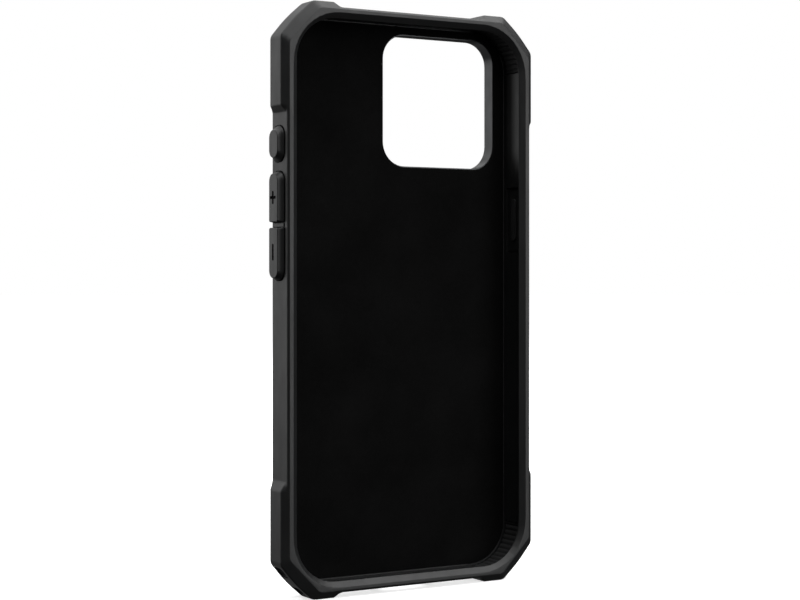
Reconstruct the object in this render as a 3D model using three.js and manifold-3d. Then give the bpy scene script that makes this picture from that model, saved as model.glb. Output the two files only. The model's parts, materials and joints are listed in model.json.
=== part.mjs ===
// Protective case for a 6.3-inch phone, standing upright.
//
// Sizes are millimetres. +X is to the right as the open front is faced, +Z is up,
// and the open front looks towards -Y. Outlines are written about the middle of the
// case, with depth counted back from the front face of the lip; the whole group is
// then placed so that the case stands on Z = 0 with Y = 0 at mid-depth.

import * as THREE from "three";
import { mergeVertices } from "three/addons/utils/BufferGeometryUtils.js";
import Module from "manifold-3d";

const wasm = await Module();
wasm.setup();

// ---------------------------------------------------------------- overall sizes

const CASE_HEIGHT = 156.6;
const CASE_DEPTH = 14.3;
const GAP = 0.3; // clearance round inserted and moving pieces
const OVERSHOOT = 3; // how far an opening is cut past the outer face
const MOUTH_OVERSHOOT = 0.1;

// Outer form: [depth, half size] pairs, straight between them.
// The plain sides are set back from the thicker corner bumpers.
const SIDE_HALF_WIDTH = [[0, 37.56], [0.59, 38.04], [9.05, 38.04], [12.3, 35.6]];
const SIDE_HALF_HEIGHT = [[0, 76.3], [0.59, 76.88], [10.2, 76.88], [12.3, 75.5]];
const BUMPER_HALF_WIDTH = [[0, 37.56], [1.62, 39.37], [7.8, 39.37], [12.3, 35.9]];
const BUMPER_HALF_HEIGHT = [[0, 76.3], [1.62, 78.3], [10.2, 78.3], [12.3, 76.2]];
// The 45-degree corner cut starts at this height on the side ...
const CORNER_CUT_HEIGHT = [[0, 67], [1.62, 68.7], [10.2, 68.7], [12.3, 66.6]];
// ... and ends at this half width on the top and bottom.
const CORNER_CUT_WIDTH = [[0, 28.6], [1.62, 29.95], [7.8, 29.95], [12.3, 26.48]];
const FRAME_DEPTHS = [0, 0.59, 1.62, 7.8, 9.05, 10.2, 12.3];
const FRAME_BACK = 12.3;
const CORNER_CUT_RADIUS = 2.2;
// The corner face crowns outward by this much halfway along the cut.
const CORNER_CROWN = [[0, 0.05], [1.62, 0.55], [10.2, 0.55], [12.3, 0.3]];
const CORNER_CROWN_RADIUS = 40;

// Where the bumpers ramp down to the plain sides: [foot of ramp, top of ramp].
const BUMPER_RAMP_SIDE = [47.2, 49.3];
const BUMPER_RAMP_SIDE_BY_KEYS = [48.9, 50.5];
const BUMPER_RAMP_END = [21.5, 23.6];

// Lip round the screen: a flat land, then a slope down to its foot.
const LIP_TOP = { halfWidth: 36.44, halfHeight: 75.43, radius: 14 };
const LIP_FOOT = { halfWidth: 34.9, halfHeight: 73.95, radius: 11.6 };
const LIP_FOOT_DEPTH = 1.22;
const LIP_BACK_DEPTH = 1.45;

// Space for the phone.
const BAY = { halfWidth: 35.85, halfHeight: 74.9, radius: 11.5 };
const BAY_FLOOR = 10.05;

// Soft cushions let into the inner corners.
const CUSHION_THICKNESS = 0.7;
const CUSHION_DEPTHS = [2.6, 9.2];
const CUSHION_START = { x: 24.4, z: 63.4 };
const CUSHIONS = [
  { name: "cushion_upper_left", at: [-1, 1] },
  { name: "cushion_upper_right", at: [1, 1] },
  { name: "cushion_lower_left", at: [-1, -1] },
  { name: "cushion_lower_right", at: [1, -1] },
];

// Lining sheet on the floor of the bay.
const LINER = { halfWidth: 35.4, halfHeight: 74.45, radius: 11.1 };
const LINER_FACE = 9.65;

// Stiff back shell, held behind by a rebate in the frame.
const SHELL_WIDE = { halfWidth: 33.5, halfHeight: 72, cut: 9 };
const SHELL_NARROW = { halfWidth: 31.5, halfHeight: 70, cut: 8.2 };
const SHELL_STEP = 11;

// Panel let into the back of the shell, and the thin ring that marks the magnets.
const PANEL = { halfWidth: 27.6, halfHeight: 66, cut: 7 };
const PANEL_FRONT = 11.7;
const PANEL_CAMERA_MARGIN = 3.4;
const RING_MARK = { inner: 24, outer: 25.4, front: 11.9 };

// Camera window and its raised bezel.
const CAMERA = { x: 14, z: 54.2 };
const WINDOW = { half: 17.9, radius: 6.6 };
const BEZEL = { half: 19.9, radius: 8.4 };
const BEZEL_FLANGE = { half: 20.6, radius: 9 };
const BEZEL_FLANGE_BACK = 10.85;
const BEZEL_CHAMFER = 0.8;

// Magnet ring, its carrier and steel shunt, and the upright alignment magnet.
const RING_HEIGHT = -2;
const CARRIER = { inner: 22.2, outer: 27.8 };
const CARRIER_DEPTHS = [10.1, 10.8];
const MAGNET = { inner: 22.95, outer: 27.05, count: 16, sweep: 17.6 };
const MAGNET_DEPTHS = [10.15, 10.8];
const SHUNT = { inner: 22.6, outer: 27.4 };
const SHUNT_DEPTHS = [10.8, 11.2];
const ALIGNMENT_MAGNET = { width: 5.6, low: -50, high: -35.6, radius: 0.8 };
const MAGNET_ARC_STEPS = 2;
const RING_SEGMENTS = 48;

// Keys: side -1 is the left wall and +1 the right. Levels are half widths of the case.
const KEY_FACE = 39.54;
const KEY_SKIRT = 37.75; // inner end of the visible cap
const SIDE_LEVEL = SIDE_HALF_WIDTH[1][1];
const KEY_TRAVEL = 0.4;
const KEY_CAP_DEPTHS = [2.65, 8.5];
const KEY_FACE_DEPTHS = [3.25, 8.1];
const KEY_EDGE = 0.16;
const KEY_STEM_DEPTHS = [3.7, 7.3];
const KEY_STEM_INSET = 2;
const KEY_FLANGE_DEPTHS = [2.6, 8.4];
const KEY_FLANGE_INSET = 0.9;
const KEY_FLANGE_LEVELS = [36.3, 36.75];
const PAD_LEVELS = [35.9, 36.3];
const PAD_DEPTHS = [4.3, 6.7];
const PAD_SHARE = 0.6;
const MOAT_LEVEL = KEY_SKIRT - KEY_TRAVEL - 0.05;
const MOAT_GAP = 0.2; // clearance at the ends of a key's cap
const MOAT_DEPTHS = [1.75, 8.7]; // wider in front of the cap, where it reads as a dark groove
const WEB_LEVEL = 36.8;
const SQUARE = 0.5; // end radius where two keys meet
const ROUND_SKIRT = 2.6;
const ROUND_FACE = 2.1;
const KEYS = [
  {
    name: "action",
    side: -1,
    base: [35.9, 45.4],
    face: [37.06, 44.3],
    skirtRadii: [ROUND_SKIRT, ROUND_SKIRT],
    faceRadii: [ROUND_FACE, ROUND_FACE],
    glyph: [],
  },
  {
    name: "volume_up",
    side: -1,
    base: [20.15, 33.55],
    face: [20.33, 32.98],
    skirtRadii: [SQUARE, ROUND_SKIRT],
    faceRadii: [SQUARE, ROUND_FACE],
    glyph: [
      { z: 26.7, depth: 5.8, along: 3.4, across: 0.85 },
      { z: 26.7, depth: 5.8, along: 0.75, across: 3.2 },
    ],
  },
  {
    name: "volume_down",
    side: -1,
    base: [5.06, 18.95],
    face: [5.71, 18.82],
    skirtRadii: [ROUND_SKIRT, SQUARE],
    faceRadii: [ROUND_FACE, SQUARE],
    glyph: [{ z: 12.45, depth: 5.8, along: 4.3, across: 0.85 }],
  },
  {
    name: "side",
    side: 1,
    base: [12.3, 31.7],
    face: [13.2, 30.8],
    skirtRadii: [ROUND_SKIRT, ROUND_SKIRT],
    faceRadii: [ROUND_FACE, ROUND_FACE],
    glyph: [],
  },
];
const GLYPH_DEPTH = 0.22;

// Openings in the bottom wall.
const PORT = { halfWidth: 6.75, depths: [2.6, 8.4], radius: 2.85 };
const GRILLE = { first: 10.8, pitch: 2.3, count: 5, width: 1.2, depths: [3.8, 7.2], radius: 0.55 };

// Two slots with a bar between them, for a cord, in the lower left corner face.
const CORD_SLOTS = { along: [-3.8, 3.8], width: 3.4, depths: [3.2, 6.8], reach: 12 };
const CORNER_FACE_CENTRE = { x: -34.66, z: -73.5 };

const ARC_STEPS = 5;
const LARGE_ARC_STEPS = 8;

// ---------------------------------------------------------------- materials

function plastic(name, color, roughness) {
  return new THREE.MeshStandardMaterial({ name, color, roughness, metalness: 0 });
}

function metal(name, color, roughness) {
  return new THREE.MeshStandardMaterial({ name, color, roughness, metalness: 1 });
}

const MATERIALS = {
  frame: plastic("frame_tpu", 0x26272a, 0.75),
  key: plastic("key_tpu", 0x2b2c2f, 0.7),
  cushion: plastic("cushion_rubber", 0x1d1e20, 0.9),
  liner: plastic("liner_microfibre", 0x17181a, 1),
  shell: plastic("shell_polycarbonate", 0x1f2023, 0.6),
  panel: plastic("panel_textured", 0x242528, 0.85),
  mark: plastic("ring_mark", 0x3a3b3f, 0.5),
  bezel: metal("bezel_anodised", 0x2d2e31, 0.45),
  carrier: plastic("carrier_plastic", 0x303134, 0.8),
  magnet: metal("magnet_nickel", 0xb9bbbd, 0.35),
  shunt: metal("shunt_steel", 0x8d8f92, 0.4),
};

// ---------------------------------------------------------------- outlines

// Value of a [position, value] table at a position between its entries.
function valueAt(table, position) {
  for (let i = 1; i < table.length; i += 1) {
    const [p0, v0] = table[i - 1];
    const [p1, v1] = table[i];
    if (position <= p1) {
      return v0 + ((v1 - v0) * (position - p0)) / (p1 - p0);
    }
  }
  return table[table.length - 1][1];
}

// Points of the arc, of the given radius, that rounds one corner of a polygon.
function cornerArc(before, corner, after, radius, steps) {
  const back = before.clone().sub(corner).normalize();
  const ahead = after.clone().sub(corner).normalize();
  const halfAngle = back.angleTo(ahead) / 2;
  const tangent = radius / Math.tan(halfAngle);
  const toCentre = back.clone().add(ahead).setLength(radius / Math.sin(halfAngle));
  const centre = corner.clone().add(toCentre);
  const start = corner.clone().addScaledVector(back, tangent).sub(centre);
  const end = corner.clone().addScaledVector(ahead, tangent).sub(centre);
  const sweep = Math.sign(start.cross(end)) * (Math.PI - 2 * halfAngle);
  const points = [];
  for (let s = 0; s <= steps; s += 1) {
    const turned = start.clone().rotateAround(new THREE.Vector2(), (sweep * s) / steps);
    points.push(turned.add(centre));
  }
  return points;
}

// Closed outline through corners [a, b, radius]; a radius of 0 keeps the corner sharp.
function rounded(corners, steps = ARC_STEPS) {
  const vertices = corners.map(([a, b]) => new THREE.Vector2(a, b));
  const count = corners.length;
  return corners.flatMap(([, , radius], i) => {
    if (radius === 0) {
      return [vertices[i]];
    }
    const before = vertices[(i + count - 1) % count];
    const after = vertices[(i + 1) % count];
    return cornerArc(before, vertices[i], after, radius, steps);
  });
}

function rectangle([a0, a1], [b0, b1], radius = 0, steps = ARC_STEPS) {
  return rounded([[a0, b0, radius], [a1, b0, radius], [a1, b1, radius], [a0, b1, radius]], steps);
}

// Rounded rectangle about the middle of the case, widened by grow all round.
function roundedRect({ halfWidth, halfHeight, radius }, grow = 0) {
  const w = halfWidth + grow;
  const h = halfHeight + grow;
  return rectangle([-w, w], [-h, h], radius + grow, LARGE_ARC_STEPS);
}

// The four corners of the case as signs of X and Z, anticlockwise.
const QUARTERS = [[1, 1], [-1, 1], [-1, -1], [1, -1]];

// Corners of one quarter, listed from the side to the end, put in anticlockwise order.
function inOrder([sx, sz], quarter) {
  return sx * sz > 0 ? quarter : quarter.reverse();
}

// Rectangle with 45-degree cut corners, slightly rounded.
function cutRect({ halfWidth, halfHeight, cut }, grow = 0) {
  const w = halfWidth + grow;
  const h = halfHeight + grow;
  const corners = QUARTERS.flatMap(([sx, sz]) =>
    inOrder([sx, sz], [[sx * w, sz * (h - cut), 1.5], [sx * (w - cut), sz * h, 1.5]]));
  return rounded(corners, 3);
}

// Rounded square about the camera.
function cameraSquare({ half, radius }, grow = 0) {
  const r = half + grow;
  const { x, z } = CAMERA;
  return rectangle([x - r, x + r], [z - r, z + r], radius + grow, LARGE_ARC_STEPS);
}

// ---------------------------------------------------------------- solids

// Turn a closed three.js geometry into a solid that can be joined and cut.
function solid(geometry) {
  geometry.deleteAttribute("normal");
  geometry.deleteAttribute("uv");
  const merged = mergeVertices(geometry);
  const positions = merged.getAttribute("position").array;
  const index = [...merged.getIndex().array];
  const [a, b, c] = [new THREE.Vector3(), new THREE.Vector3(), new THREE.Vector3()];
  let volume = 0;
  for (let i = 0; i < index.length; i += 3) {
    a.fromArray(positions, index[i] * 3);
    b.fromArray(positions, index[i + 1] * 3);
    c.fromArray(positions, index[i + 2] * 3);
    volume += a.dot(b.cross(c));
  }
  if (volume < 0) {
    index.reverse();
  }
  const mesh = new wasm.Mesh({
    numProp: 3,
    vertProperties: new Float32Array(positions),
    triVerts: new Uint32Array(index),
  });
  return new wasm.Manifold(mesh);
}

const AXIS_X = new THREE.Vector3(1, 0, 0);
const AXIS_Y = new THREE.Vector3(0, 1, 0);
const AXIS_Z = new THREE.Vector3(0, 0, 1);
// How an extrusion is stood: its outline's two directions and its length.
const STANDS = {
  x: new THREE.Matrix4().makeBasis(AXIS_Y, AXIS_Z, AXIS_X),
  y: new THREE.Matrix4().makeBasis(AXIS_X, AXIS_Z, AXIS_Y.clone().negate()),
  z: new THREE.Matrix4(),
};

// Extrusion between two levels on an axis. The outline is in XZ for axis "y", in YZ
// for "x" and in XY for "z".
function prism(outline, levels, axis = "y") {
  const low = Math.min(...levels);
  const high = Math.max(...levels);
  const options = { depth: high - low, bevelEnabled: false };
  const geometry = new THREE.ExtrudeGeometry(new THREE.Shape(outline), options);
  geometry.applyMatrix4(STANDS[axis]);
  if (axis === "y") {
    geometry.translate(0, high, 0);
  } else if (axis === "x") {
    geometry.translate(low, 0, 0);
  } else {
    geometry.translate(0, 0, low);
  }
  return solid(geometry);
}

// Body through a row of outlines with equal point counts, each of which can be seen
// whole from its own middle. Axis as for prism.
function loft(sections, axis = "y") {
  const count = sections[0].outline.length;
  const last = sections.length - 1;
  const positions = [];
  const put = (point, level) => {
    positions.push(...(axis === "y" ? [point.x, level, point.y] : [level, point.x, point.y]));
  };
  sections.forEach(({ outline, at }) => outline.forEach((point) => put(point, at)));
  for (const { outline, at } of [sections[0], sections[last]]) {
    const middle = outline.reduce((sum, point) => sum.add(point), new THREE.Vector2());
    put(middle.divideScalar(count), at);
  }
  const firstCentre = sections.length * count;
  const index = [];
  for (let i = 0; i < count; i += 1) {
    const j = (i + 1) % count;
    for (let s = 0; s < last; s += 1) {
      const near = s * count;
      const far = near + count;
      index.push(near + i, near + j, far + j);
      index.push(near + i, far + j, far + i);
    }
    index.push(firstCentre, j, i);
    index.push(firstCentre + 1, last * count + i, last * count + j);
  }
  const geometry = new THREE.BufferGeometry();
  geometry.setAttribute("position", new THREE.Float32BufferAttribute(positions, 3));
  geometry.setIndex(index);
  return solid(geometry);
}

function box([x0, x1], [y0, y1], [z0, z1]) {
  const geometry = new THREE.BoxGeometry(Math.abs(x1 - x0), y1 - y0, z1 - z0);
  geometry.translate((x0 + x1) / 2, (y0 + y1) / 2, (z0 + z1) / 2);
  return solid(geometry);
}

// Disc about the middle of the magnet ring.
function disc(radius, [from, to]) {
  const geometry = new THREE.CylinderGeometry(radius, radius, to - from, RING_SEGMENTS);
  geometry.translate(0, (from + to) / 2, RING_HEIGHT);
  return solid(geometry);
}

// Flat ring about the middle of the magnet ring.
function ring({ inner, outer }, [from, to]) {
  const profile = [[inner, from], [outer, from], [outer, to], [inner, to], [inner, from]];
  const points = profile.map(([radius, depth]) => new THREE.Vector2(radius, depth));
  const geometry = new THREE.LatheGeometry(points, RING_SEGMENTS);
  geometry.translate(0, 0, RING_HEIGHT);
  return solid(geometry);
}

function union(solids) {
  return solids.reduce((whole, next) => whole.add(next));
}

// Wrap a finished solid as a named mesh.
function piece(name, finished, material) {
  const { vertProperties, triVerts } = finished.getMesh();
  const geometry = new THREE.BufferGeometry();
  geometry.setAttribute("position", new THREE.BufferAttribute(vertProperties, 3));
  geometry.setIndex(new THREE.BufferAttribute(triVerts, 1));
  geometry.computeVertexNormals();
  const mesh = new THREE.Mesh(geometry, material);
  mesh.name = name;
  return mesh;
}

// ---------------------------------------------------------------- bumper frame

// Outer outline of the frame at one depth.
function frameOutline(depth) {
  const sideX = valueAt(SIDE_HALF_WIDTH, depth);
  const sideZ = valueAt(SIDE_HALF_HEIGHT, depth);
  const bumperX = valueAt(BUMPER_HALF_WIDTH, depth);
  const bumperZ = valueAt(BUMPER_HALF_HEIGHT, depth);
  const cutZ = valueAt(CORNER_CUT_HEIGHT, depth);
  const cutX = valueAt(CORNER_CUT_WIDTH, depth);
  const crown = valueAt(CORNER_CROWN, depth) * Math.SQRT1_2;
  const crownX = (bumperX + cutX) / 2 + crown;
  const crownZ = (bumperZ + cutZ) / 2 + crown;
  const corners = QUARTERS.flatMap(([sx, sz]) => {
    const ramp = sx < 0 && sz > 0 ? BUMPER_RAMP_SIDE_BY_KEYS : BUMPER_RAMP_SIDE;
    return inOrder([sx, sz], [
      [sx * sideX, sz * ramp[0], 0],
      [sx * bumperX, sz * ramp[1], 0],
      [sx * bumperX, sz * cutZ, CORNER_CUT_RADIUS],
      [sx * crownX, sz * crownZ, CORNER_CROWN_RADIUS],
      [sx * cutX, sz * bumperZ, CORNER_CUT_RADIUS],
      [sx * BUMPER_RAMP_END[1], sz * bumperZ, 0],
      [sx * BUMPER_RAMP_END[0], sz * sideZ, 0],
    ]);
  });
  return rounded(corners);
}

// Space inside the frame: the sloping mouth, the lip's edge and the bay behind it.
function phoneBay() {
  const slope = (LIP_TOP.halfWidth - LIP_FOOT.halfWidth) / LIP_FOOT_DEPTH;
  const mouth = loft([
    { outline: roundedRect(LIP_TOP, slope * MOUTH_OVERSHOOT), at: -MOUTH_OVERSHOOT },
    { outline: roundedRect(LIP_FOOT), at: LIP_FOOT_DEPTH },
  ]);
  const throat = prism(roundedRect(LIP_FOOT), [-OVERSHOOT, BAY_FLOOR]);
  const bay = prism(roundedRect(BAY), [LIP_BACK_DEPTH, BAY_FLOOR]);
  return union([mouth, throat, bay]);
}

// One corner of the bay, with its wall moved out by grow.
function bayCorner([sx, sz], grow, depths, margin) {
  const reach = (sign, start) => {
    const ends = [sign * (start - margin), sign * CASE_HEIGHT];
    return ends.sort((p, q) => p - q);
  };
  const block = prism(roundedRect(BAY, grow), depths);
  const corner = box(reach(sx, CUSHION_START.x), widened(depths, 1), reach(sz, CUSHION_START.z));
  return block.intersect(corner);
}

// A [from, to] pair widened by grow at both ends.
function widened([from, to], grow) {
  return [from - grow, to + grow];
}

// Way through the wall behind one key: stem hole and inner flange pocket.
function keyWindow({ side, base }) {
  const inside = side * (BAY.halfWidth - 1);
  const stem = prism(
    rectangle(widened(KEY_STEM_DEPTHS, GAP), widened(base, GAP - KEY_STEM_INSET)),
    [inside, side * (MOAT_LEVEL + 1)],
    "x",
  );
  const pocket = prism(
    rectangle(widened(KEY_FLANGE_DEPTHS, GAP), widened(base, GAP - KEY_FLANGE_INSET)),
    [inside, side * WEB_LEVEL],
    "x",
  );
  return stem.add(pocket);
}

// Outer pocket that one key stands in.
function moat({ side, base, skirtRadii }) {
  const radii = skirtRadii.map((radius) => radius + MOAT_GAP);
  const outline = keyOutline(MOAT_DEPTHS, widened(base, MOAT_GAP), radii);
  return prism(outline, [side * MOAT_LEVEL, side * (KEY_FACE + OVERSHOOT)], "x");
}

// Groove that runs on in front of the bridge between the two volume keys.
function bridgeGroove() {
  const [upper, lower] = KEYS.filter(({ name }) => name.startsWith("volume"));
  const heights = widened([lower.base[1], upper.base[0]], 2 * SQUARE);
  const levels = [-MOAT_LEVEL, -(KEY_FACE + OVERSHOOT)];
  return prism(rectangle([MOAT_DEPTHS[0], KEY_CAP_DEPTHS[0]], heights), levels, "x");
}

// Charging port and the two rows of slots beside it.
function bottomOpenings() {
  const wall = [-(CASE_HEIGHT / 2 + OVERSHOOT), -(BAY.halfHeight - 1)];
  const { halfWidth, depths, radius } = PORT;
  const openings = [prism(rectangle([-halfWidth, halfWidth], depths, radius), wall, "z")];
  for (const side of [-1, 1]) {
    for (let i = 0; i < GRILLE.count; i += 1) {
      const x = side * (GRILLE.first + i * GRILLE.pitch);
      const width = widened([x, x], GRILLE.width / 2);
      openings.push(prism(rectangle(width, GRILLE.depths, GRILLE.radius), wall, "z"));
    }
  }
  return union(openings);
}

// Two slots square to the lower left corner face, right through to the bay.
function cordSlots() {
  const [front, back] = CORD_SLOTS.depths;
  const slots = CORD_SLOTS.along.map((along) => {
    const geometry = new THREE.BoxGeometry(CORD_SLOTS.width, back - front, CORD_SLOTS.reach);
    geometry.translate(along, (front + back) / 2, 0);
    geometry.rotateY(Math.PI / 4);
    geometry.translate(CORNER_FACE_CENTRE.x, 0, CORNER_FACE_CENTRE.z);
    return solid(geometry);
  });
  return union(slots);
}

function bumperFrame() {
  const outer = loft(FRAME_DEPTHS.map((at) => ({ outline: frameOutline(at), at })));
  const pocketDepths = widened(CUSHION_DEPTHS, GAP);
  const openings = [
    phoneBay(),
    prism(cutRect(SHELL_WIDE, GAP), [BAY_FLOOR - 0.5, SHELL_STEP]),
    prism(cutRect(SHELL_NARROW, GAP), [SHELL_STEP - 0.5, FRAME_BACK + OVERSHOOT]),
    prism(cameraSquare(BEZEL_FLANGE, GAP), [BAY_FLOOR - 0.5, BEZEL_FLANGE_BACK]),
    prism(cameraSquare(BEZEL, GAP), [BAY_FLOOR, FRAME_BACK + OVERSHOOT]),
    bottomOpenings(),
    cordSlots(),
    ...CUSHIONS.map(({ at }) => bayCorner(at, CUSHION_THICKNESS + GAP, pocketDepths, GAP)),
    ...KEYS.map(keyWindow),
    ...KEYS.map(moat),
    bridgeGroove(),
  ];
  return piece("bumper_frame", outer.subtract(union(openings)), MATERIALS.frame);
}

// ---------------------------------------------------------------- inner pieces

function cushion({ name, at }) {
  const corner = bayCorner(at, CUSHION_THICKNESS, CUSHION_DEPTHS, 0);
  const bay = prism(roundedRect(BAY), widened(CUSHION_DEPTHS, 1));
  return piece(name, corner.subtract(bay).subtract(cordSlots()), MATERIALS.cushion);
}

function liner() {
  const sheet = prism(roundedRect(LINER), [LINER_FACE, BAY_FLOOR]);
  const window = prism(cameraSquare(WINDOW, GAP), widened([LINER_FACE, BAY_FLOOR], 1));
  return piece("liner", sheet.subtract(window), MATERIALS.liner);
}

// One magnet about the ring's own middle, on its +X side.
function magnetOutline(grow = 0) {
  const half = THREE.MathUtils.degToRad(MAGNET.sweep / 2) + grow / MAGNET.inner;
  const shape = new THREE.Shape();
  shape.absarc(0, 0, MAGNET.outer + grow, -half, half, false);
  shape.absarc(0, 0, MAGNET.inner - grow, half, -half, true);
  return shape.getPoints(MAGNET_ARC_STEPS);
}

function magnetAngle(index) {
  return (2 * Math.PI * (index + 0.5)) / MAGNET.count;
}

// Ring with a window for each magnet.
function magnetCarrier() {
  const middle = new THREE.Vector2();
  const offset = new THREE.Vector2(0, RING_HEIGHT);
  let carrier = ring(CARRIER, CARRIER_DEPTHS);
  for (let i = 0; i < MAGNET.count; i += 1) {
    const outline = magnetOutline(GAP);
    outline.forEach((point) => point.rotateAround(middle, -magnetAngle(i)).add(offset));
    carrier = carrier.subtract(prism(outline, widened(CARRIER_DEPTHS, 1)));
  }
  return piece("magnet_carrier", carrier, MATERIALS.carrier);
}

// Equal magnets turned to their places round the ring.
function magnets() {
  const group = new THREE.Group();
  group.position.z = RING_HEIGHT;
  for (let i = 0; i < MAGNET.count; i += 1) {
    const name = `magnet_${String(i + 1).padStart(2, "0")}`;
    const magnet = piece(name, prism(magnetOutline(), MAGNET_DEPTHS), MATERIALS.magnet);
    magnet.rotation.y = magnetAngle(i);
    group.add(magnet);
  }
  return group;
}

function alignmentOutline(grow = 0) {
  const { width, low, high, radius } = ALIGNMENT_MAGNET;
  return rectangle(widened([0, 0], width / 2 + grow), widened([low, high], grow), radius + grow, 3);
}

function alignmentMagnet() {
  return piece("alignment_magnet", prism(alignmentOutline(), MAGNET_DEPTHS), MATERIALS.magnet);
}

function shuntRing() {
  return piece("shunt_ring", ring(SHUNT, SHUNT_DEPTHS), MATERIALS.shunt);
}

// ---------------------------------------------------------------- back pieces

function backShell() {
  const wide = prism(cutRect(SHELL_WIDE), [BAY_FLOOR, SHELL_STEP]);
  const narrow = prism(cutRect(SHELL_NARROW), [SHELL_STEP, FRAME_BACK]);
  const carrierSeat = { inner: CARRIER.inner - GAP, outer: CARRIER.outer + GAP };
  const openings = [
    prism(cameraSquare(BEZEL_FLANGE, GAP), [BAY_FLOOR - 1, BEZEL_FLANGE_BACK]),
    prism(cameraSquare(BEZEL, GAP), [BAY_FLOOR, FRAME_BACK + 1]),
    ring(carrierSeat, [BAY_FLOOR - 1, SHUNT_DEPTHS[1]]),
    prism(alignmentOutline(GAP), [BAY_FLOOR - 1, MAGNET_DEPTHS[1]]),
    panelBody(GAP, FRAME_BACK + 1),
  ];
  return piece("back_shell", wide.add(narrow).subtract(union(openings)), MATERIALS.shell);
}

// Cut-cornered panel with the camera's corner left out.
function panelBody(grow, back) {
  const past = [PANEL_FRONT - 1, back + 1];
  const plate = prism(cutRect(PANEL, grow), [PANEL_FRONT, back]);
  const aroundCamera = prism(cameraSquare(BEZEL, PANEL_CAMERA_MARGIN - grow), past);
  const corner = box([CAMERA.x, CASE_HEIGHT], past, [CAMERA.z, CASE_HEIGHT]);
  return plate.subtract(aroundCamera).subtract(corner);
}

function backPanel() {
  const { inner, outer, front } = RING_MARK;
  const groove = ring({ inner: inner - GAP, outer: outer + GAP }, [front, FRAME_BACK + 1]);
  return piece("back_panel", panelBody(0, FRAME_BACK).subtract(groove), MATERIALS.panel);
}

function ringMark() {
  return piece("ring_mark", ring(RING_MARK, [RING_MARK.front, FRAME_BACK]), MATERIALS.mark);
}

function cameraBezel() {
  const wall = loft([
    { outline: cameraSquare(BEZEL), at: BAY_FLOOR },
    { outline: cameraSquare(BEZEL), at: CASE_DEPTH - BEZEL_CHAMFER },
    { outline: cameraSquare(BEZEL, -BEZEL_CHAMFER), at: CASE_DEPTH },
  ]);
  const flange = prism(cameraSquare(BEZEL_FLANGE), [BAY_FLOOR, BEZEL_FLANGE_BACK]);
  const window = prism(cameraSquare(WINDOW), widened([BAY_FLOOR, CASE_DEPTH], 1));
  return piece("camera_bezel", wall.add(flange).subtract(window), MATERIALS.bezel);
}

// ---------------------------------------------------------------- keys

// Outline of a key in YZ, rounded apart at its low and high end.
function keyOutline(depths, heights, [low, high], inset = 0) {
  const [y0, y1] = widened(depths, -inset);
  const [z0, z1] = widened(heights, -inset);
  return rounded([[y0, z0, low], [y1, z0, low], [y1, z1, high], [y0, z1, high]]);
}

// Visible cap: a straight skirt, sloping flanks and a fine edge round the face.
function keyCap({ side, base, face, skirtRadii, faceRadii }) {
  const skirt = keyOutline(KEY_CAP_DEPTHS, base, skirtRadii);
  const top = keyOutline(KEY_FACE_DEPTHS, face, faceRadii);
  const topInset = keyOutline(KEY_FACE_DEPTHS, face, faceRadii, KEY_EDGE);
  return loft([
    { outline: skirt, at: side * KEY_SKIRT },
    { outline: skirt, at: side * SIDE_LEVEL },
    { outline: top, at: side * (KEY_FACE - KEY_EDGE) },
    { outline: topInset, at: side * KEY_FACE },
  ], "x");
}

// Engraved bars, each given by its middle and its size along the key and across it.
function glyphBars({ side, glyph }) {
  const levels = [side * (KEY_FACE - GLYPH_DEPTH), side * (KEY_FACE + 1)];
  return glyph.map(({ z, depth, along, across }) =>
    box(levels, widened([depth, depth], across / 2), widened([z, z], along / 2)));
}

function keyBody(key) {
  const { name, side, base } = key;
  const stemLevels = [side * KEY_FLANGE_LEVELS[0], side * (KEY_SKIRT + 0.2)];
  const flangeLevels = KEY_FLANGE_LEVELS.map((level) => side * level);
  const stem = box(stemLevels, KEY_STEM_DEPTHS, widened(base, -KEY_STEM_INSET));
  const flange = box(flangeLevels, KEY_FLANGE_DEPTHS, widened(base, -KEY_FLANGE_INSET));
  const plain = union([keyCap(key), stem, flange]);
  const engraved = glyphBars(key).reduce((body, bar) => body.subtract(bar), plain);
  return piece(`${name}_key`, engraved, MATERIALS.key);
}

// Soft pad on the inner end, which meets the phone's own button.
function keyPad({ name, side, base }) {
  const middle = (base[0] + base[1]) / 2;
  const heights = widened([middle, middle], (base[1] - base[0]) * PAD_SHARE / 2);
  const levels = PAD_LEVELS.map((level) => side * level);
  const pad = prism(rectangle(PAD_DEPTHS, heights, 1), levels, "x");
  return piece(`${name}_pad`, pad, MATERIALS.cushion);
}

// ---------------------------------------------------------------- whole case

const phoneCase = new THREE.Group();
phoneCase.name = "phone_case";
phoneCase.position.set(0, -CASE_DEPTH / 2, CASE_HEIGHT / 2);
phoneCase.add(
  bumperFrame(),
  ...CUSHIONS.map(cushion),
  liner(),
  magnetCarrier(),
  magnets(),
  alignmentMagnet(),
  shuntRing(),
  backShell(),
  backPanel(),
  ringMark(),
  cameraBezel(),
  ...KEYS.map(keyBody),
  ...KEYS.map(keyPad),
);

export default phoneCase;
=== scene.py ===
"""Looks of the protective phone case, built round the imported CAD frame."""
import json
import math

import bmesh
import bpy
from mathutils import Matrix, Vector

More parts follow.
